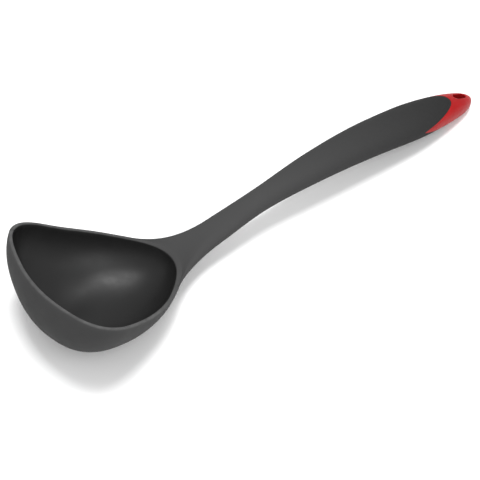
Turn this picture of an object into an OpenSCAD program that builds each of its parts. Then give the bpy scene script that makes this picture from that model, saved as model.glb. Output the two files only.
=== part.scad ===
// Soup ladle: a dark moulded bowl, neck and grip, and a red end piece with the hanging hole.
// Millimetres, +Z up. The ladle lies as on a table: bowl at -X, handle end at +X,
// mirror plane Y = 0, origin under the middle of its length on the table plane.

/* [Overall] */
// Length over everything, front of the bowl to the end of the handle
overall_l = 345; // [335:1:355]

/* [Bowl] */
// Mean radius of the rim, seen square to the rim
bowl_r = 47.4; // [45:0.2:50]
// Depth from the rim to the outside of the bottom
bowl_depth = 37.4; // [35:0.2:40]
// Wall thickness
wall_t = 2.4; // [2:0.1:3]
// Angle by which the rim leans back toward the handle
bowl_tilt = 26.4; // [24:0.2:28]
// How far the front of the rim is drawn in and its two pouring corners pushed out
corner_push = 5.6; // [4:0.1:7]
// How far the two pouring corners stand above the rim's plane
corner_lift = 1.9; // [0:0.1:3]
// Depth shaved off the bottom to give the small flat that the bowl rests on
foot_cut = 0.3; // [0.1:0.1:0.6]

/* [Neck and grip] */
// Width of the neck at its narrowest
neck_w = 15.2; // [14:0.2:18]
// Thickness of the neck where it leaves the bowl
neck_t = 9.2; // [8.4:0.2:11]
// Greatest width of the grip
grip_w = 28.8; // [26:0.2:31]
// Greatest thickness of the grip
grip_t = 18; // [16:0.5:20]
// Height of the handle's arch above the table, to its centre line
arch_h = 24.4; // [22:0.2:26]

/* [Hanging end] */
// Length of the red end along the top of the grip
end_l = 23.9; // [22:0.1:26]
// How far the red end's side horns reach back along the edges of the grip
horn_l = 36; // [28:0.2:42]
// Length of the hanging hole, a slot with round ends along the handle
hole_l = 12; // [9:0.5:13]
// Width of the hanging hole
hole_w = 5.2; // [4.8:0.1:6]
// Distance from the end of the handle to the centre of the hanging hole
hole_in = 13.9; // [13:0.1:15]
// Radius of the hole's rounded lips
lip_r = 0.8; // [0.4:0.1:1]
// Length of the hidden tang, measured from the end of the handle
tang_l = 112; // [100:2:124]
// Diameter of the windows through the tang, filled by posts of the grip
window_d = 4.4; // [3:0.2:5]
// Number of windows
window_n = 3; // [1:1:4]

/* [Hidden] */

// Mesh steps: angles round the bowl, rows up its wall, rings along the neck, grip, tang and rounded
// end, sides of the hole's and the posts' circles
round_n = 84;
wall_n = 12;
neck_n = 10;
grip_n = 28;
tang_n = 8;
tip_n = 11;
hole_n = 48;
post_n = 32;

// The rim is a circle drawn toward the neck, made slightly oval and given pouring corners
back_pull = 2.75;
oval = 1;
// A corner is the third cosine term of the angle with shares of the sixth and ninth
push_shares = [1, 0.21, 0.035];
lift_shares = [1, 0.18, 0];
// How far the rim rises toward its front and back above its sides
rim_sag = 0.5;
// The deepest point lies this far in front of the middle of the rim
bottom_shift = -11.9;
// Extra thickness of the bowl's wall where the neck grows from it, and how narrowly it is kept there
root_t = 2.4;
root_power = 8;
// Edge radius of the rim
edge_r = 0.8;

// Distances from the end of the handle to where the neck is blended in and to where the end begins
// to round off
neck_run = 222;
round_run = 65;

tip_x = overall_l / 2;
neck_x = tip_x - neck_run;
grip_x = tip_x - round_run;
apex_x = tip_x - end_l;
socket_x = tip_x - tang_l;
hole_x = tip_x - hole_in;

// Grip sections are superellipses of this power
section_power = 2.4;
// Powers of the rounding toward the handle's end, in plan and in side view
plan_power = 1.85;
side_power = 2.5;
// The horns' edge falls back from the apex as this power of the angle
horn_power = 2.1;
// The tang's section as a share of the grip's, at its mouth and at its inner end
tang_mouth = 0.64;
tang_root = 0.5;

// Stations along the handle: x, centre height, half width, half thickness
stations = [
  [neck_x, 0.715 * arch_h, 0.6 * neck_w, 0.5 * neck_t],
  [neck_x + 0.16 * neck_run, 0.914 * arch_h, 0.5 * neck_w, 0.66 * neck_t],
  [neck_x + 0.34 * neck_run, arch_h, 0.363 * grip_w, 0.396 * grip_t],
  [neck_x + 0.52 * neck_run, 0.93 * arch_h, 0.446 * grip_w, 0.468 * grip_t],
  [grip_x, 0.695 * arch_h, 0.5 * grip_w, 0.488 * grip_t],
  [grip_x + 0.57 * round_run, 0.594 * grip_t, 0.48 * grip_w, 0.507 * grip_t],
  [tip_x, 0.253 * grip_t, 0.493 * grip_w, 0.54 * grip_t]];

// Smooth curve through column c of the stations
function slope_at(i, c) =
  let (a = max(i - 1, 0), b = min(i + 1, len(stations) - 1))
  (stations[b][c] - stations[a][c]) / (stations[b][0] - stations[a][0]);
function span_of(x) =
  min(max([for (i = [0:len(stations) - 1]) if (stations[i][0] <= x || i == 0) i]), len(stations) - 2);
function smooth_at(x, c) =
  let (i = span_of(x), w = stations[i + 1][0] - stations[i][0], s = (x - stations[i][0]) / w)
  (1 + 2 * s) * pow(1 - s, 2) * stations[i][c] + s * pow(1 - s, 2) * w * slope_at(i, c)
  + s * s * (3 - 2 * s) * stations[i + 1][c] + s * s * (s - 1) * w * slope_at(i + 1, c);

// Share of the full section left at x, as the grip rounds off to its end
function end_share(x, power, root) =
  pow(1 - pow(min(max((x - grip_x) / (tip_x - grip_x), 0), 1), power), 1 / root);
function centre_z(x) = smooth_at(x, 1);
function half_w(x) = smooth_at(x, 2) * end_share(x, plan_power, 2);
function half_t(x) = smooth_at(x, 3) * end_share(x, side_power, 3);

// Point of the handle's surface at x and angle a round the section, a = 90 on top
function rounded(v) = sign(v) * pow(abs(v), 2 / section_power);
function handle_pt(x, a, share = 1) =
  [x, share * half_w(x) * rounded(cos(a)), centre_z(x) + share * half_t(x) * rounded(sin(a))];
function handle_dir(x, a) = handle_pt(x + 0.5, a) - handle_pt(x - 0.5, a);

// Where the dark grip ends and the red end begins, at angle a
function from_crest(a) = 90 - asin(min(abs(sin(a)), 1));
function parting_x(a) = apex_x - horn_l * pow(from_crest(a) / 90, horn_power);

// Bowl, square to the rim: the rim's radius and height at angle a, a = 0 at the neck
function corners(a, shares) = shares[0] * cos(3 * a) + shares[1] * cos(6 * a) + shares[2] * cos(9 * a);
function rim_r(a) =
  bowl_r + back_pull * cos(a) + oval * cos(2 * a) + corner_push * corners(a, push_shares);
function rim_h(a) = rim_sag * cos(2 * a) + corner_lift * corners(a, lift_shares);
function inner_t(a) = wall_t + root_t * pow(max(cos(a), 0), root_power);
// Point of a wall inset from the outside and raised from the bottom, t = 0 at the bottom and 1
// just under the rim
function wall_pt(a, t, inset, raise) =
  let (f = sin(90 * t), r = rim_r(a) - inset)
  [f * r * cos(a) + bottom_shift * (1 - f), f * r * sin(a),
   f * (rim_h(a) - edge_r) - (bowl_depth - raise) * cos(90 * t)];
// Point of the rounded edge, inset from the outside and dropped from the rim's top
function edge_pt(a, inset, drop) =
  [(rim_r(a) - inset) * cos(a), (rim_r(a) - inset) * sin(a), rim_h(a) - drop];
function edge_arc(a, q) = edge_pt(a, edge_r * (1 - cos(q)), edge_r * (1 - sin(q)));
function edge_arc_in(a, q) = edge_pt(a, inner_t(a) - edge_r * (1 - cos(q)), edge_r * (1 - sin(q)));

// From the bowl's own frame to the table frame
function tilted(p) =
  [p[0] * cos(bowl_tilt) + p[2] * sin(bowl_tilt), p[1], p[2] * cos(bowl_tilt) - p[0] * sin(bowl_tilt)];
middle = [for (t = [0:0.02:1]) for (a = [0, 180]) tilted(wall_pt(a, t, 0, 0))];
bowl_x = -tip_x - min([for (p = middle) p[0]]);
bowl_z = -foot_cut - min([for (p = middle) p[2]]);
function placed(p) = let (q = tilted(p) + [bowl_x, 0, bowl_z]) [q[0], q[1], max(q[2], 0)];

// One column of the bowl's skin, bottom outside, over the rim, to bottom inside
edge_steps = [30, 60, 90];
function column(a) = concat(
  [for (j = [1:wall_n]) wall_pt(a, j / wall_n, 0, 0)],
  [for (q = edge_steps) edge_arc(a, q)],
  [for (q = [90, 60, 30]) edge_arc_in(a, q)],
  [for (j = [wall_n:-1:1]) wall_pt(a, j / wall_n, inner_t(a), wall_t)]);
rows_n = 2 * wall_n + 6;

// The neck grows out of a patch of the skin: 2 * patch_n angles wide, rows low_row to top_row
patch_n = 7;
low_row = 7;
top_row = wall_n + 2;
side_n = top_row - low_row;
// Angle round the neck's section at which the patch's corners arrive
corner_a = 35;
// How strongly the neck keeps its directions where it leaves the bowl and where it meets the handle
leave_pull = 0.25;
arrive_pull = 1.83;
// The patch's outline as [angle step, row, angle round the section]
outline = concat(
  [for (s = [0:side_n - 1]) [patch_n, low_row + s, corner_a * (2 * s / side_n - 1)]],
  [for (s = [0:2 * patch_n - 1])
    [patch_n - s, top_row, corner_a + (90 - corner_a) * s / patch_n]],
  [for (s = [0:side_n - 1])
    [-patch_n, top_row - s, 180 + corner_a * (2 * s / side_n - 1)]],
  [for (s = [0:2 * patch_n - 1])
    [s - patch_n, low_row, 180 + corner_a + (90 - corner_a) * s / patch_n]]);
ring_n = len(outline);

function skin_pt(i, j) = placed(column(i * 360 / round_n)[j]);
function unit(v) = v / norm(v);
// Direction in which the neck leaves the skin: along the rim at the sides, outward between
function leave_dir(o) =
  let (i = o[0], j = o[1], side = abs(i) / patch_n, low = (top_row - j) / side_n,
       along = unit(skin_pt(i - sign(i + 0.5), j) - skin_pt(i, j)),
       out = j == top_row ? [1, 0, 0] : unit(skin_pt(i, j + 1) - skin_pt(i, j)))
  unit(side * along + max(low, 1 - side) * out);
function neck_pt(o, s) =
  let (a = skin_pt(o[0], o[1]), b = handle_pt(neck_x, o[2]), d = norm(b - a))
  (1 + 2 * s) * pow(1 - s, 2) * a + s * pow(1 - s, 2) * d * leave_pull * leave_dir(o)
  + s * s * (3 - 2 * s) * b + s * s * (s - 1) * d * arrive_pull * handle_dir(neck_x, o[2]);

// Rings shared by the two pieces
function grip_ring(k) = [for (o = outline)
  handle_pt(neck_x + (parting_x(o[2]) - neck_x) * k / grip_n, o[2])];
function tang_ring(k) = [for (o = outline)
  let (x = parting_x(o[2]) + (socket_x - parting_x(o[2])) * k / tang_n)
  handle_pt(x, o[2], tang_mouth + (tang_root - tang_mouth) * k / tang_n)];
function tip_ring(k) = [for (o = outline)
  handle_pt(parting_x(o[2]) + (tip_x - parting_x(o[2])) * sin(90 * k / tip_n), o[2])];
tang_end = [socket_x, 0, centre_z(socket_x)];

// Quads between ring k and ring k + 1 of rings laid out one after another from index base
function ring_quads(base, k, n) = [for (i = [0:n - 1])
  let (a = base + k * n, b = a + n, j = (i + 1) % n) [a + i, b + i, b + j, a + j]];
function fan(base, n, pole, flip) = [for (i = [0:n - 1])
  let (j = (i + 1) % n) flip ? [base + j, base + i, pole] : [base + i, base + j, pole]];

module ladle_skin() {
  skin = [for (j = [0:rows_n - 1]) for (i = [0:round_n - 1]) skin_pt(i, j)];
  rings = concat(
    [for (k = [1:neck_n - 1]) [for (o = outline) neck_pt(o, k / neck_n)]],
    [for (k = [0:grip_n]) grip_ring(k)],
    [for (k = [0:tang_n]) tang_ring(k)]);
  ring_base = len(skin);
  ring_count = len(rings);
  pole_base = ring_base + ring_n * ring_count;
  points = concat(skin, [for (r = rings) each r],
    [placed(wall_pt(0, 0, 0, 0)), placed(wall_pt(0, 0, wall_t, wall_t)), tang_end]);
  outline_index = [for (o = outline) o[1] * round_n + (o[0] + round_n) % round_n];
  faces = concat(
    [for (j = [0:rows_n - 2]) for (i = [0:round_n - 1])
      let (n = (i + 1) % round_n, turn = i < round_n / 2 ? i : i - round_n)
      if (j < low_row || j >= top_row || turn < -patch_n || turn >= patch_n)
        [j * round_n + i, (j + 1) * round_n + i, (j + 1) * round_n + n, j * round_n + n]],
    [for (i = [0:ring_n - 1]) let (j = (i + 1) % ring_n)
      [outline_index[i], ring_base + i, ring_base + j, outline_index[j]]],
    [for (k = [0:ring_count - 2]) each ring_quads(ring_base, k, ring_n)],
    fan(0, round_n, pole_base, false),
    fan((rows_n - 1) * round_n, round_n, pole_base + 1, true),
    fan(ring_base + (ring_count - 1) * ring_n, ring_n, pole_base + 2, true));
  polyhedron(points, faces, convexity = 6);
}

module end_skin() {
  rings = concat(
    [for (k = [tang_n:-1:0]) tang_ring(k)],
    [for (k = [0:tip_n - 1]) tip_ring(k)]);
  ring_count = len(rings);
  points = concat([for (r = rings) each r], [tang_end, handle_pt(tip_x, 0)]);
  faces = concat(
    [for (k = [0:ring_count - 2]) each ring_quads(0, k, ring_n)],
    fan(0, ring_n, ring_n * ring_count, false),
    fan((ring_count - 1) * ring_n, ring_n, ring_n * ring_count + 1, true));
  polyhedron(points, faces, convexity = 4);
}

// Posts of the grip pass through the tang's windows, the first this far from the tang's inner end
window_in = 14;
window_pitch = 20;
// Half heights of the posts and of the windows, as shares of the handle's half thickness
post_reach = 0.8;
window_reach = 0.95;
module posts(reach) {
  for (i = [0:window_n - 1])
    let (x = socket_x + window_in + i * window_pitch, h = reach * half_t(x))
    translate([x, 0, centre_z(x) - h]) cylinder(h = 2 * h, d = window_d, $fn = post_n);
}

// The hanging hole stands square to the handle's centre line, and its lips follow the surface:
// m = 0 is the upper lip, m = 1 the lower
slot_run = hole_l - hole_w;
hole_lean = atan((centre_z(hole_x + 1) - centre_z(hole_x - 1)) / 2);
hole_half = half_t(hole_x);
function surface_z(x, m) = centre_z(x) + (1 - 2 * m) * half_t(x);
module hanging_hole() {
  translate([hole_x, 0, centre_z(hole_x)]) rotate([0, -hole_lean, 0])
    slot() linear_extrude(4 * hole_half, center = true) circle(d = hole_w, $fn = hole_n);
  for (m = [0, 1])
    let (x = hole_x - (1 - 2 * m) * hole_half * sin(hole_lean),
         lean = atan((surface_z(x + 1, m) - surface_z(x - 1, m)) / 2))
    translate([x, 0, surface_z(x, m)]) rotate([0, -lean, 0]) mirror([0, 0, m]) lip();
}
module slot() {
  for (m = [-0.5, 0.5]) translate([m * slot_run, 0, 0]) children();
  cube([slot_run, hole_w, 4 * hole_half], center = true);
}
module lip() {
  for (m = [-0.5, 0.5]) translate([m * slot_run, 0, 0]) rotate_extrude($fn = hole_n) lip_profile();
  rotate([90, 0, 90]) linear_extrude(slot_run, center = true)
    for (m = [0, 1]) mirror([m, 0]) lip_profile();
}
module lip_profile() {
  polygon(concat(
    [[0, -lip_r], [hole_w / 2, -lip_r]],
    [for (q = [15:15:90]) [hole_w / 2 + lip_r * (1 - cos(q)), lip_r * (sin(q) - 1)]],
    [[hole_w / 2 + lip_r, lip_r], [0, lip_r]]));
}

module ladle_body() {
  color([0.27, 0.27, 0.28]) union() {
    ladle_skin();
    posts(post_reach);
  }
}

module hanging_end() {
  color([0.72, 0.14, 0.14]) difference() {
    end_skin();
    posts(window_reach);
    hanging_hole();
  }
}

ladle_body();
hanging_end();
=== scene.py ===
import math

import bpy
import numpy as np
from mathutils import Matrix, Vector


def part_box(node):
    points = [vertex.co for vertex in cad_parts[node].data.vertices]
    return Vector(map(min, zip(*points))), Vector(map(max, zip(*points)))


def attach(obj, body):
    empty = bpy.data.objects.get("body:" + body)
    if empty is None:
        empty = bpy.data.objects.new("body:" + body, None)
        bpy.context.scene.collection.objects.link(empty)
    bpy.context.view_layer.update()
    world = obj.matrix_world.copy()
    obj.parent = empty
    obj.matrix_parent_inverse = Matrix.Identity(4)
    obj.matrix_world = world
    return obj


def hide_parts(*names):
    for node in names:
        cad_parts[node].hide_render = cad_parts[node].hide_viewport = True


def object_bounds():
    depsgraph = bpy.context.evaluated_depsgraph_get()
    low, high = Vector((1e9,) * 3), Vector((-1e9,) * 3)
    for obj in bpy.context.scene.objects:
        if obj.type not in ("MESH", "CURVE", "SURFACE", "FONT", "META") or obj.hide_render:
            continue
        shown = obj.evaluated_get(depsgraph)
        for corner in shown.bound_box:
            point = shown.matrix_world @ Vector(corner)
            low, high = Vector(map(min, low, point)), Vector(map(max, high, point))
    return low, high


# A dark moulded soup ladle with a red hanging end, lying on a pale floor.
# Both CAD solids are replaced by finer meshes of the same shape, in metres, in the CAD frame:
# bowl at -X, handle end at +X, mirror plane Y = 0, table plane Z = 0.

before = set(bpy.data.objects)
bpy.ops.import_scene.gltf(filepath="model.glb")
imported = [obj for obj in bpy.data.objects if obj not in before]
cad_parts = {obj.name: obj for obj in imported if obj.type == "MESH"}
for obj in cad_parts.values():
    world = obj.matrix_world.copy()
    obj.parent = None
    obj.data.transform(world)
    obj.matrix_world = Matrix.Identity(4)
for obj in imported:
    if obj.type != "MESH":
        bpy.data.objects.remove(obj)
cad_low, cad_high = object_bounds()
end_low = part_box("hanging_end")[0]

MM = 0.001

# ---------------------------------------------------------------- sizes

# Bowl, square to its rim
BOWL_R = 47.4 * MM
BOWL_DEPTH = 37.4 * MM
WALL_T = 2.4 * MM
EDGE_R = 0.8 * MM
BOTTOM_SHIFT = -11.9 * MM
FOOT_CUT = 0.3 * MM
BOWL_TILT = math.radians(26.4)
# The rim is a circle drawn toward the neck, made slightly oval and given pouring corners
BACK_PULL = 2.75 * MM
OVAL = 1.0 * MM
CORNER_PUSH = 5.6 * MM
CORNER_LIFT = 1.9 * MM
# A corner is the third cosine term of the angle with shares of the sixth and ninth
PUSH_SHARES = (1, 0.21, 0.035)
LIFT_SHARES = (1, 0.18, 0)
# How far the rim rises toward its front and back above its sides
RIM_SAG = 0.5 * MM
# Extra thickness of the wall where the neck grows from it, and how narrowly it is kept there
ROOT_T = 2.4 * MM
ROOT_POWER = 8

# Neck and grip
NECK_W = 15.2 * MM
NECK_T = 9.2 * MM
GRIP_W = 28.8 * MM
GRIP_T = 18 * MM
ARCH_H = 24.4 * MM
SECTION_POWER = 2.4
# Distances from the handle's end to where the neck is blended in and to where the end rounds off
NECK_RUN = 222 * MM
ROUND_RUN = 65 * MM
PLAN_POWER = 1.85
SIDE_POWER = 2.5

# Hanging end
END_L = 23.9 * MM
HORN_L = 36 * MM
HORN_POWER = 2.1
HOLE_L = 12 * MM
HOLE_W = 5.2 * MM
HOLE_IN = 13.9 * MM
LIP_R = 0.8 * MM
TANG_MOUTH = 0.64
TANG_ROOT = 0.5
# Radius of the fine edge on each side of the seam between the two mouldings
SEAM_R = 0.25 * MM

# Places along X, from the CAD box
TIP_X = cad_high.x
NECK_X = TIP_X - NECK_RUN
GRIP_X = TIP_X - ROUND_RUN
APEX_X = TIP_X - END_L
SOCKET_X = end_low.x
HOLE_X = TIP_X - HOLE_IN

# Mesh steps
ROUND_N = 240          # angles round the bowl
WALL_N = 48            # rows up the bowl's wall
EDGE_N = 8             # steps round each rim edge
PATCH_N = 20           # half width, in angle steps, of the patch that the neck grows from
NECK_N = 40
GRIP_N = 110
SEAM_N = 4
TANG_N = 16
TIP_N = 70
SLOT_N = 96
LIP_N = 8
SETTLE_N = 12          # rounds in which a point beside the hole settles on the surface
PLACE_N = 50           # steps up the wall when the bowl is placed
SHARP_ANGLE = math.radians(40)

# ---------------------------------------------------------------- handle

# Stations along the handle: x, centre height, half width, half thickness
STATIONS = np.array([
    (NECK_X, 0.715 * ARCH_H, 0.6 * NECK_W, 0.5 * NECK_T),
    (NECK_X + 0.16 * NECK_RUN, 0.914 * ARCH_H, 0.5 * NECK_W, 0.66 * NECK_T),
    (NECK_X + 0.34 * NECK_RUN, ARCH_H, 0.363 * GRIP_W, 0.396 * GRIP_T),
    (NECK_X + 0.52 * NECK_RUN, 0.93 * ARCH_H, 0.446 * GRIP_W, 0.468 * GRIP_T),
    (GRIP_X, 0.695 * ARCH_H, 0.5 * GRIP_W, 0.488 * GRIP_T),
    (GRIP_X + 0.57 * ROUND_RUN, 0.594 * GRIP_T, 0.48 * GRIP_W, 0.507 * GRIP_T),
    (TIP_X, 0.253 * GRIP_T, 0.493 * GRIP_W, 0.54 * GRIP_T)])


def smooth_at(x, column):
    """Smooth curve through one column of the stations."""
    xs, ys = STATIONS[:, 0], STATIONS[:, column]
    before = np.maximum(np.arange(len(xs)) - 1, 0)
    after = np.minimum(np.arange(len(xs)) + 1, len(xs) - 1)
    slopes = (ys[after] - ys[before]) / (xs[after] - xs[before])
    i = np.clip(np.searchsorted(xs, x, side="right") - 1, 0, len(xs) - 2)
    w = xs[i + 1] - xs[i]
    s = (x - xs[i]) / w
    return ((1 + 2 * s) * (1 - s) ** 2 * ys[i] + s * (1 - s) ** 2 * w * slopes[i]
            + s * s * (3 - 2 * s) * ys[i + 1] + s * s * (s - 1) * w * slopes[i + 1])


def end_share(x, power, root):
    """Share of the full section left at x, as the grip rounds off to its end."""
    u = np.clip((x - GRIP_X) / (TIP_X - GRIP_X), 0, 1)
    return (1 - u ** power) ** (1 / root)


def centre_z(x):
    return smooth_at(x, 1)


def half_w(x):
    return smooth_at(x, 2) * end_share(x, PLAN_POWER, 2)


def half_t(x):
    return smooth_at(x, 3) * end_share(x, SIDE_POWER, 3)


def rounded(v):
    """A cosine or sine, bent so that the section becomes a superellipse."""
    return np.sign(v) * np.abs(v) ** (2 / SECTION_POWER)


def handle_pt(x, a, share=1.0):
    """Points of the handle's surface at x and at angle a round the section, 90 degrees on top."""
    x, a = np.broadcast_arrays(np.asarray(x, float), np.asarray(a, float))
    c, s = np.cos(np.radians(a)), np.sin(np.radians(a))
    return np.stack([x, share * half_w(x) * rounded(c),
                     centre_z(x) + share * half_t(x) * rounded(s)], axis=-1)


def handle_dir(x, a):
    """How the surface runs on along X, measured over 1 mm."""
    return (handle_pt(x + 0.5 * MM, a) - handle_pt(x - 0.5 * MM, a)) / MM


def parting_x(a):
    """Where the dark grip ends and the red end begins, at angle a."""
    from_crest = 90 - np.degrees(np.arcsin(np.clip(np.abs(np.sin(np.radians(a))), 0, 1)))
    return APEX_X - HORN_L * (from_crest / 90) ** HORN_POWER


# ---------------------------------------------------------------- bowl

def corners(a, shares):
    """The pouring corners at angle a round the bowl, as a wave that repeats three times."""
    return shares[0] * np.cos(3 * a) + shares[1] * np.cos(6 * a) + shares[2] * np.cos(9 * a)


def rim_r(a):
    return BOWL_R + BACK_PULL * np.cos(a) + OVAL * np.cos(2 * a) + CORNER_PUSH * corners(a, PUSH_SHARES)


def rim_h(a):
    return RIM_SAG * np.cos(2 * a) + CORNER_LIFT * corners(a, LIFT_SHARES)


def root_t(a):
    """Extra thickness of the bowl's edge where the neck grows from it."""
    return ROOT_T * np.maximum(np.cos(a), 0) ** ROOT_POWER


def wall_pt(a, t, inset, extra=0):
    """Points of a wall inset from the outside, t = 0 at the bottom and 1 just under the rim."""
    f, g, r = np.sin(np.pi / 2 * t), np.cos(np.pi / 2 * t), rim_r(a) - inset - extra
    return np.stack([f * r * np.cos(a) + BOTTOM_SHIFT * (1 - f), f * r * np.sin(a),
                     f * (rim_h(a) - EDGE_R) - (BOWL_DEPTH - inset) * g], axis=-1)


def edge_pt(a, inset, drop):
    r = rim_r(a) - inset
    return np.stack([r * np.cos(a), r * np.sin(a), rim_h(a) - drop], axis=-1)


def tilted(p):
    c, s = math.cos(BOWL_TILT), math.sin(BOWL_TILT)
    return np.stack([p[..., 0] * c + p[..., 2] * s, p[..., 1], p[..., 2] * c - p[..., 0] * s], axis=-1)


def bowl_place():
    """Where the bowl's own origin goes, so that it touches the box's front and the table."""
    t = np.linspace(0, 1, PLACE_N + 1)
    middle = np.concatenate([tilted(wall_pt(np.full(t.shape, a), t, 0)) for a in (0, math.pi)])
    return np.array([-TIP_X - middle[:, 0].min(), 0, -FOOT_CUT - middle[:, 2].min()])


BOWL_PLACE = bowl_place()


def placed(p):
    q = tilted(p) + BOWL_PLACE
    q[..., 2] = np.maximum(q[..., 2], 0)
    return q


# A row's place on the outside counts up the wall and then on round the outer edge
WALL_PLACES = 12
EDGE_PLACES = 3


def bowl_rows():
    """Rows of the bowl's skin, bottom outside, over the rim, to bottom inside, and the places of
    the rows on the outside."""
    a = np.arange(ROUND_N) * 2 * np.pi / ROUND_N
    rows, places = [], []
    for j in range(1, WALL_N + 1):
        rows.append(wall_pt(a, j / WALL_N, 0))
        places.append(WALL_PLACES * j / WALL_N)
    for j in range(1, EDGE_N + 1):
        q = np.pi / 2 * j / EDGE_N
        rows.append(edge_pt(a, EDGE_R * (1 - np.cos(q)), EDGE_R * (1 - np.sin(q))))
        places.append(WALL_PLACES + EDGE_PLACES * j / EDGE_N)
    for j in range(EDGE_N, 0, -1):
        q = np.pi / 2 * j / EDGE_N
        rows.append(edge_pt(a, WALL_T + root_t(a) - EDGE_R * (1 - np.cos(q)), EDGE_R * (1 - np.sin(q))))
    for j in range(WALL_N, 0, -1):
        rows.append(wall_pt(a, j / WALL_N, WALL_T, root_t(a)))
    return placed(np.array(rows)), np.array(places)


# ---------------------------------------------------------------- neck

# The neck grows out of a patch of the skin, from LOW_PLACE on the wall to the rim's top
LOW_PLACE = 8
TOP_PLACE = WALL_PLACES + EDGE_PLACES
CORNER_A = 35          # angle round the neck's section at which the patch's corners arrive
# How strongly the neck keeps its directions where it leaves the bowl and meets the handle
LEAVE = 0.25
ARRIVE = 1.83

SKIN, PLACES = bowl_rows()
LOW_ROW = int(np.argmin(np.abs(PLACES - LOW_PLACE)))
TOP_ROW = len(PLACES) - 1


def patch_outline():
    """The patch's outline: angle step, row and angle round the neck's section, for each point."""
    points = []
    for row in range(LOW_ROW, TOP_ROW):
        points.append((PATCH_N, row, CORNER_A * side_share(row)))
    for step in range(2 * PATCH_N):
        points.append((PATCH_N - step, TOP_ROW, CORNER_A + (90 - CORNER_A) * step / PATCH_N))
    for row in range(TOP_ROW, LOW_ROW, -1):
        points.append((-PATCH_N, row, 180 - CORNER_A * side_share(row)))
    for step in range(2 * PATCH_N):
        points.append((step - PATCH_N, LOW_ROW, 180 + CORNER_A + (90 - CORNER_A) * step / PATCH_N))
    return points


def side_share(row):
    """-1 at the patch's low row to 1 at its top row."""
    return 2 * (PLACES[row] - LOW_PLACE) / (TOP_PLACE - LOW_PLACE) - 1


OUTLINE = patch_outline()
RING_A = np.array([p[2] for p in OUTLINE])
RING_N = len(OUTLINE)


def unit(v):
    return v / np.linalg.norm(v)


def leave_dir(i, row):
    """Direction in which the neck leaves the skin: along the rim at the sides, outward between."""
    side = abs(i) / PATCH_N
    low = (TOP_PLACE - PLACES[row]) / (TOP_PLACE - LOW_PLACE)
    toward = -1 if i >= 0 else 1
    along = unit(SKIN[row, (i + toward) % ROUND_N] - SKIN[row, i % ROUND_N])
    if row == TOP_ROW:
        out = np.array([1.0, 0, 0])
    else:
        out = unit(SKIN[row + 1, i % ROUND_N] - SKIN[row, i % ROUND_N])
    return unit(side * along + max(low, 1 - side) * out)


def neck_rings():
    """Rings from the patch's outline to the handle's first section, tangent to both."""
    start = np.array([SKIN[row, i % ROUND_N] for i, row, _ in OUTLINE])
    leave = np.array([leave_dir(i, row) for i, row, _ in OUTLINE])
    end, arrive = handle_pt(NECK_X, RING_A), handle_dir(NECK_X, RING_A)
    reach = np.linalg.norm(end - start, axis=1)[:, None]
    rings = []
    for k in range(1, NECK_N):
        s = k / NECK_N
        rings.append((1 + 2 * s) * (1 - s) ** 2 * start + s * (1 - s) ** 2 * reach * LEAVE * leave
                     + s * s * (3 - 2 * s) * end + s * s * (s - 1) * reach * ARRIVE * arrive)
    return rings


# ---------------------------------------------------------------- rings and meshes

def seam_rings(forward):
    """The fine edge beside the seam, from the outside inward, on the side given by forward."""
    rings = []
    for k in range(SEAM_N + 1):
        q = np.pi / 2 * k / SEAM_N
        x = parting_x(RING_A) + forward * SEAM_R * (1 - np.sin(q))
        share = 1 - SEAM_R * (1 - np.cos(q)) / half_t(x)
        rings.append(handle_pt(x, RING_A, share))
    return rings


def tang_rings():
    start = parting_x(RING_A)
    rings = []
    for k in range(TANG_N + 1):
        s = k / TANG_N
        rings.append(handle_pt(start + (SOCKET_X - start) * s, RING_A,
                               TANG_MOUTH + (TANG_ROOT - TANG_MOUTH) * s))
    return rings


TANG_END = np.array([SOCKET_X, 0, centre_z(SOCKET_X)])


def ring_quads(base, count):
    """Quads between rings laid out one after another from index base, facing outward."""
    quads = []
    for k in range(count - 1):
        for i in range(RING_N):
            j = (i + 1) % RING_N
            a, b = base + k * RING_N, base + (k + 1) * RING_N
            quads.append((a + i, a + j, b + j, b + i))
    return quads


def fan(base, count, pole, flip):
    """Triangles from a closed row of points to its pole."""
    faces = []
    for i in range(count):
        j = (i + 1) % count
        faces.append((base + i, base + j, pole) if flip else (base + j, base + i, pole))
    return faces


def body_shape():
    """Points and faces of the bowl, neck and grip, with the tang's socket."""
    start = parting_x(RING_A) - SEAM_R
    rings = neck_rings()
    for k in range(GRIP_N + 1):
        rings.append(handle_pt(NECK_X + (start - NECK_X) * k / GRIP_N, RING_A))
    rings += seam_rings(-1)[1:] + tang_rings()
    rows_n = len(SKIN)
    ring_base = rows_n * ROUND_N
    pole_base = ring_base + len(rings) * RING_N
    poles = [placed(wall_pt(0.0, 0.0, 0)), placed(wall_pt(0.0, 0.0, WALL_T)), TANG_END]
    points = np.concatenate([SKIN.reshape(-1, 3), np.concatenate(rings), np.array(poles)])
    faces = []
    for j in range(rows_n - 1):
        for i in range(ROUND_N):
            turn = i if i < ROUND_N // 2 else i - ROUND_N
            if LOW_ROW <= j < TOP_ROW and -PATCH_N <= turn < PATCH_N:
                continue
            n = (i + 1) % ROUND_N
            faces.append((j * ROUND_N + i, j * ROUND_N + n, (j + 1) * ROUND_N + n, (j + 1) * ROUND_N + i))
    border = [row * ROUND_N + i % ROUND_N for i, row, _ in OUTLINE]
    for i in range(RING_N):
        j = (i + 1) % RING_N
        faces.append((border[i], border[j], ring_base + j, ring_base + i))
    faces += ring_quads(ring_base, len(rings))
    faces += fan(0, ROUND_N, pole_base, False)
    faces += fan((rows_n - 1) * ROUND_N, ROUND_N, pole_base + 1, True)
    faces += fan(pole_base - RING_N, RING_N, pole_base + 2, True)
    return points, faces


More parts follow.
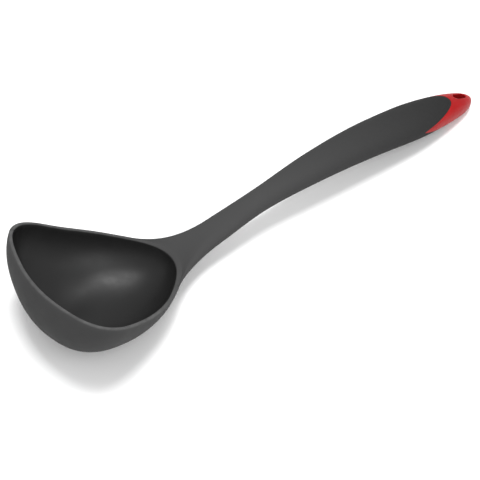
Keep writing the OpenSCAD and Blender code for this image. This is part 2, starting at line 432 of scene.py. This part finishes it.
def end_shape():
    """Points and faces of the hanging end and its tang, before the hole is cut."""
    start = parting_x(RING_A) + SEAM_R
    rings = tang_rings()[::-1] + seam_rings(1)[::-1]
    for k in range(1, TIP_N):
        rings.append(handle_pt(start + (TIP_X - start) * math.sin(math.pi / 2 * k / TIP_N), RING_A))
    last = len(rings) * RING_N
    points = np.concatenate([np.concatenate(rings), [TANG_END, handle_pt(TIP_X, 0.0)]])
    faces = ring_quads(0, len(rings)) + fan(0, RING_N, last, False)
    faces += fan(last - RING_N, RING_N, last + 1, True)
    return points, faces


def make_piece(name, points, faces):
    mesh = bpy.data.meshes.new(name)
    mesh.from_pydata([tuple(p) for p in points], [], faces)
    mesh.validate()
    mesh.update()
    for polygon in mesh.polygons:
        polygon.use_smooth = True
    piece = bpy.data.objects.new(name, mesh)
    bpy.context.collection.objects.link(piece)
    return piece


def surface_z(x, y, side):
    """Height of the handle's upper (side 1) or lower (side -1) surface."""
    share = np.abs(y) / half_w(x)
    return centre_z(x) + side * half_t(x) * (1 - share ** SECTION_POWER) ** (1 / SECTION_POWER)


def slot_ring(offset, depth, side):
    """A ring of the hanging hole at an offset from the slot's middle line, below the surface."""
    lean = (centre_z(HOLE_X + MM) - centre_z(HOLE_X - MM)) / (2 * MM)
    ring = []
    for turn in range(SLOT_N):
        a = 2 * math.pi * (turn + 0.5) / SLOT_N
        u = math.copysign((HOLE_L - HOLE_W) / 2, math.cos(a)) + offset * math.cos(a)
        x, y = HOLE_X + u, offset * math.sin(a)
        for _ in range(SETTLE_N):
            z = float(surface_z(x, y, side))
            x = HOLE_X + u - (z - float(centre_z(HOLE_X))) * lean
        ring.append((x, y, z - side * depth))
    return ring


def paint(piece, name, values):
    """Stores one number per point of a piece, for its material to read."""
    layer = piece.data.attributes.new(name, "FLOAT", "POINT")
    layer.data.foreach_set("value", np.asarray(values, np.float32))


# How many rows from the rim's top the painted rim highlight reaches, as a share of EDGE_N, and
# how narrowly the neck's side of the rim is spared it
HIGHLIGHT_REACH = 1.25
SPARED_POWER = 3


def bowl_finish_and_painted_light(count):
    """Where the skin is smoother and darkened by painted shade (inside the bowl), and where a
    painted highlight lightens it (along the rim).
    """
    row, step = np.divmod(np.arange(SKIN[..., 0].size), ROUND_N)
    a = step * 2 * np.pi / ROUND_N
    polish_and_shade, rim_highlight = np.zeros(count), np.zeros(count)
    # Inside the bowl: smoother skin, also darkened with painted shade
    polish_and_shade[:len(row)] = np.clip((row - WALL_N - EDGE_N) / EDGE_N, 0, 1)
    from_top = np.abs(row - (WALL_N + EDGE_N - 0.5)) / EDGE_N
    spared = np.maximum(np.cos(a), 0) ** SPARED_POWER
    # Painted highlight along the rim's top, spared on the neck's side
    rim_highlight[:len(row)] = np.clip(HIGHLIGHT_REACH - from_top, 0, 1) * (1 - spared)
    return {"polish_and_shade": polish_and_shade, "rim_highlight": rim_highlight}


def cut_hole(piece):
    """Cuts the hanging hole, a slot square to the handle's centre line. Its lips follow the
    surface."""
    rings = []
    for side in (-1, 1):
        lips = [slot_ring(HOLE_W / 2 + LIP_R, -LIP_R, side)]
        for k in range(LIP_N, -1, -1):
            q = math.pi / 2 * k / LIP_N
            lips.append(slot_ring(HOLE_W / 2 + LIP_R * (1 - math.cos(q)), LIP_R * (1 - math.sin(q)), side))
        rings += lips if side < 0 else lips[::-1]
    points = [p for ring in rings for p in ring]
    faces = []
    for k in range(len(rings) - 1):
        for i in range(SLOT_N):
            j = (i + 1) % SLOT_N
            a, b = k * SLOT_N, (k + 1) * SLOT_N
            faces.append((a + i, a + j, b + j, b + i))
    faces += [tuple(reversed(range(SLOT_N))), tuple(range(len(points) - SLOT_N, len(points)))]
    cutter = make_piece("hole_cutter", points, faces)
    cut = piece.modifiers.new("hole", "BOOLEAN")
    cut.operation, cut.solver, cut.object = "DIFFERENCE", "EXACT", cutter
    bpy.context.view_layer.update()
    graph = bpy.context.evaluated_depsgraph_get()
    piece.data = bpy.data.meshes.new_from_object(piece.evaluated_get(graph))
    piece.modifiers.clear()
    bpy.data.objects.remove(cutter)
    piece.data.set_sharp_from_angle(angle=SHARP_ANGLE)


# ---------------------------------------------------------------- materials

# Colours, in linear light
NYLON_DARK = (0.041, 0.041, 0.0412)
NYLON_PALE = (0.047, 0.047, 0.0472)
# Painted light on the neck and handle
NYLON_NECK_PAINTED_LIGHT = (0.049, 0.049, 0.0493)
# Painted shade on the grip toward its end
NYLON_END_PAINTED_SHADE = (0.018, 0.018, 0.0181)
NYLON_SPECK = (0.06, 0.06, 0.06)
# Painted shade that darkens the bowl's inside
NYLON_INSIDE_SHADE = (0.004, 0.004, 0.004)
# Painted highlight along the rim's top
NYLON_RIM_HIGHLIGHT = (0.085, 0.085, 0.085)
RED_DARK = (0.27, 0.006, 0.007)
RED_PALE = (0.31, 0.008, 0.009)
RED_SCUFF = (0.34, 0.02, 0.022)
FLOOR_DARK = (0.92, 0.92, 0.92)
FLOOR_PALE = (0.95, 0.95, 0.95)

# Sizes of the patterns, in waves per metre
FLOW_SCALE = 28
SPECK_SCALE = 2600
HIGHLIGHT_SCALE = 220
MATTE_SCALE = 140
GRAIN_SCALE = 2200
UNEVEN_SCALE = 60
RED_FLOW_SCALE = 60
SCUFF_SCALE = 320
RED_MATTE_SCALE = 180
RED_GRAIN_SCALE = 2400
FLOOR_SCALE = 3

# The stretches of a noise that are spread: all it often reaches, its middle, and only its peaks
NOISE_MOST = (0.3, 0.7)
NOISE_MIDDLE = (0.35, 0.65)
NOISE_SPECKS = (0.66, 0.74)
NOISE_SCUFFS = (0.56, 0.72)

# Strengths: 0 to 1, except the depths of the bumps
PEAK_STRENGTH = 0.3
HIGHLIGHT_LEAST = 0.35
NYLON_ROUGH = (0.64, 0.74)
INSIDE_SMOOTHER = 0.28
# Share of painted shade that darkens the bowl's inside
INSIDE_PAINTED_SHADE = 0.82
NYLON_SHINE = 0.06
INSIDE_SHINE = 0.2
GRAIN_DEPTH = 0.03 * MM
UNEVEN_DEPTH = 0.05 * MM
RED_ROUGH = (0.32, 0.44)
RED_SHINE = 0.08
RED_GRAIN_DEPTH = 0.02 * MM
FLOOR_ROUGH = 0.9
FLOOR_SHINE = 0.1

class Nodes:
    """Short names for the node calls that the materials share."""

    def __init__(self, name):
        self.material = bpy.data.materials.new(name)
        self.material.use_nodes = True
        self.tree = self.material.node_tree
        self.shader = self.tree.nodes["Principled BSDF"]
        self.place = self.tree.nodes.new("ShaderNodeTexCoord").outputs["Object"]

    def noise(self, scale, detail=2.0, roughness=0.5):
        node = self.tree.nodes.new("ShaderNodeTexNoise")
        node.inputs["Scale"].default_value = scale
        node.inputs["Detail"].default_value = detail
        node.inputs["Roughness"].default_value = roughness
        self.tree.links.new(self.place, node.inputs["Vector"])
        return node.outputs["Fac"]

    def along(self, start, stop):
        """A number that runs from 0 to 1 between two places along X."""
        split = self.tree.nodes.new("ShaderNodeSeparateXYZ")
        self.tree.links.new(self.place, split.inputs["Vector"])
        return self.spread(split.outputs["X"], (start, stop), (0, 1))

    def painted(self, name):
        """The number that paint stored under this name."""
        node = self.tree.nodes.new("ShaderNodeAttribute")
        node.attribute_name = name
        return node.outputs["Fac"]

    def spread(self, value, source, target):
        """The value's source range stretched over the target range."""
        node = self.tree.nodes.new("ShaderNodeMapRange")
        for socket, number in zip(("From Min", "From Max", "To Min", "To Max"), source + target):
            node.inputs[socket].default_value = number
        self.tree.links.new(value, node.inputs["Value"])
        return node.outputs["Result"]

    def math(self, operation, first, second):
        node = self.tree.nodes.new("ShaderNodeMath")
        node.operation = operation
        for socket, value in zip(node.inputs, (first, second)):
            if isinstance(value, (int, float)):
                socket.default_value = value
            else:
                self.tree.links.new(value, socket)
        return node.outputs["Value"]

    def mix(self, share, first, second):
        node = self.tree.nodes.new("ShaderNodeMix")
        node.data_type = "RGBA"
        self.tree.links.new(share, node.inputs["Factor"])
        for socket, value in ((node.inputs[6], first), (node.inputs[7], second)):
            if isinstance(value, tuple):
                socket.default_value = (*value, 1)
            else:
                self.tree.links.new(value, socket)
        return node.outputs[2]

    def bump(self, height, distance, strength, under=None):
        node = self.tree.nodes.new("ShaderNodeBump")
        node.inputs["Distance"].default_value = distance
        node.inputs["Strength"].default_value = strength
        self.tree.links.new(height, node.inputs["Height"])
        if under is not None:
            self.tree.links.new(under, node.inputs["Normal"])
        return node.outputs["Normal"]

    def send(self, value, socket):
        self.tree.links.new(value, self.shader.inputs[socket])


def dark_nylon():
    """Charcoal glass-filled nylon: fine matte grain, faint flow marks, pale fibre specks, a smoother
    inside darkened by painted shade, a painted highlight along the rim, painted light on the neck
    and painted shade on the grip toward its end."""
    n = Nodes("dark_nylon")
    polish_and_shade = n.painted("polish_and_shade")
    flow = n.spread(n.noise(FLOW_SCALE, 3), NOISE_MIDDLE, (0, 1))
    base = n.mix(flow, NYLON_DARK, NYLON_PALE)
    # Painted light: the neck and handle are made lighter than the bowl
    base = n.mix(n.along(NECK_X - 0.35 * NECK_RUN, NECK_X), base, NYLON_NECK_PAINTED_LIGHT)
    # Painted shade: the grip darkens toward its end
    base = n.mix(n.along(NECK_X + 0.15 * NECK_RUN, APEX_X), base, NYLON_END_PAINTED_SHADE)
    specks = n.spread(n.noise(SPECK_SCALE, 1), NOISE_SPECKS, (0, PEAK_STRENGTH))
    speckled = n.mix(specks, base, NYLON_SPECK)
    # Painted shade: the bowl's inside is darkened where its skin is also smoother
    inside = n.mix(n.math("MULTIPLY", polish_and_shade, INSIDE_PAINTED_SHADE), speckled, NYLON_INSIDE_SHADE)
    # Painted highlight along the rim, made uneven by noise
    uneven_highlight = n.spread(n.noise(HIGHLIGHT_SCALE, 4), NOISE_MOST, (HIGHLIGHT_LEAST, 1))
    highlight_share = n.math("MULTIPLY", n.painted("rim_highlight"), uneven_highlight)
    n.send(n.mix(highlight_share, inside, NYLON_RIM_HIGHLIGHT), "Base Color")
    matte = n.spread(n.noise(MATTE_SCALE, 4), NOISE_MOST, NYLON_ROUGH)
    smoother = n.math("MULTIPLY", polish_and_shade, INSIDE_SMOOTHER)
    n.send(n.math("SUBTRACT", matte, smoother), "Roughness")
    shinier = n.math("MULTIPLY", polish_and_shade, INSIDE_SHINE)
    n.send(n.math("ADD", shinier, NYLON_SHINE), "Specular IOR Level")
    grain = n.bump(n.noise(GRAIN_SCALE, 3, 0.6), GRAIN_DEPTH, 0.5)
    n.send(n.bump(n.noise(UNEVEN_SCALE, 2), UNEVEN_DEPTH, 0.25, grain), "Normal")
    return n.material


def red_plastic():
    """Satin red plastic with a fine grain, and faint pale scuffs from handling."""
    n = Nodes("red_plastic")
    flow = n.spread(n.noise(RED_FLOW_SCALE, 3), NOISE_MIDDLE, (0, 1))
    base = n.mix(flow, RED_DARK, RED_PALE)
    scuffs = n.spread(n.noise(SCUFF_SCALE, 5, 0.7), NOISE_SCUFFS, (0, PEAK_STRENGTH))
    n.send(n.mix(scuffs, base, RED_SCUFF), "Base Color")
    n.send(n.spread(n.noise(RED_MATTE_SCALE, 4), NOISE_MOST, RED_ROUGH), "Roughness")
    n.shader.inputs["Specular IOR Level"].default_value = RED_SHINE
    n.send(n.bump(n.noise(RED_GRAIN_SCALE, 3, 0.6), RED_GRAIN_DEPTH, 0.4), "Normal")
    return n.material


def floor_white():
    """Pale, faintly uneven studio floor."""
    n = Nodes("floor_white")
    n.send(n.mix(n.noise(FLOOR_SCALE, 2), FLOOR_DARK, FLOOR_PALE), "Base Color")
    n.shader.inputs["Roughness"].default_value = FLOOR_ROUGH
    n.shader.inputs["Specular IOR Level"].default_value = FLOOR_SHINE
    return n.material


# ---------------------------------------------------------------- the ladle

body = make_piece("ladle_body_visual", *body_shape())
for layer_name, layer_values in bowl_finish_and_painted_light(len(body.data.vertices)).items():
    paint(body, layer_name, layer_values)
body.data.materials.append(dark_nylon())
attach(body, "root")
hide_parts("ladle_body")

end = make_piece("hanging_end_visual", *end_shape())
cut_hole(end)
end.data.materials.clear()
end.data.materials.append(red_plastic())
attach(end, "root")
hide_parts("hanging_end")

# ---------------------------------------------------------------- stage, light and camera

FLOOR_HALF = 6.0

CAMERA_AZIMUTH = math.radians(37.93)
CAMERA_ELEVATION = math.radians(47.75)
CAMERA_DISTANCE = 0.6
CAMERA_LENS = 76.64
CAMERA_SENSOR = 36
CAMERA_CLIP = (0.01, 50)
CAMERA_TARGET = Vector((-42.85 * MM, -17.1 * MM, 20 * MM))

LOOK = Vector((math.sin(CAMERA_AZIMUTH) * math.cos(CAMERA_ELEVATION),
               math.cos(CAMERA_AZIMUTH) * math.cos(CAMERA_ELEVATION),
               -math.sin(CAMERA_ELEVATION)))
RIGHT = Vector((math.cos(CAMERA_AZIMUTH), -math.sin(CAMERA_AZIMUTH), 0))
AWAY = Vector((math.sin(CAMERA_AZIMUTH), math.cos(CAMERA_AZIMUTH), 0))

WORLD_STRENGTH = 0.74
LIGHT_TARGET = Vector((0, 0, 0.02))
LIGHT_DISTANCE = 1.6
# Name, azimuth from the camera's right, elevation, size in metres and power in watts
LIGHTS = (("overhead", 0, 90, 0.5, 17),
          ("key", 50, 62, 0.4, 3.4),
          ("right", 338, 36, 0.5, 1),
          ("left_low", 180, 25, 0.8, 0.5),
          ("near", 300, 46, 0.8, 7))


def make_floor():
    half = FLOOR_HALF
    outline = [(-half, -half, 0), (half, -half, 0), (half, half, 0), (-half, half, 0)]
    floor = make_piece("floor", outline, [(0, 1, 2, 3)])
    floor.data.materials.append(floor_white())


def make_light(name, azimuth, elevation, size, power):
    """A square studio light; azimuth 0 is the camera's right, 90 away from the camera."""
    azimuth, elevation = math.radians(azimuth), math.radians(elevation)
    level = RIGHT * math.cos(azimuth) + AWAY * math.sin(azimuth)
    toward = level * math.cos(elevation) + Vector((0, 0, math.sin(elevation)))
    light = bpy.data.lights.new(name, "AREA")
    light.shape, light.size, light.energy = "SQUARE", size, power
    lamp = bpy.data.objects.new(name, light)
    lamp.location = LIGHT_TARGET + toward * LIGHT_DISTANCE
    lamp.rotation_euler = (-toward).to_track_quat("-Z", "Y").to_euler()
    bpy.context.collection.objects.link(lamp)


def make_world():
    world = bpy.data.worlds.new("studio")
    world.use_nodes = True
    background = world.node_tree.nodes["Background"]
    background.inputs["Color"].default_value = (1, 1, 1, 1)
    background.inputs["Strength"].default_value = WORLD_STRENGTH
    bpy.context.scene.world = world


def make_camera():
    data = bpy.data.cameras.new("camera")
    data.lens, data.sensor_width = CAMERA_LENS, CAMERA_SENSOR
    data.clip_start, data.clip_end = CAMERA_CLIP
    camera = bpy.data.objects.new("camera", data)
    camera.location = CAMERA_TARGET - LOOK * CAMERA_DISTANCE
    camera.rotation_euler = LOOK.to_track_quat("-Z", "Y").to_euler()
    bpy.context.collection.objects.link(camera)
    bpy.context.scene.camera = camera


make_floor()
make_world()
for settings in LIGHTS:
    make_light(*settings)
bpy.context.scene.view_settings.view_transform = "Standard"
make_camera()
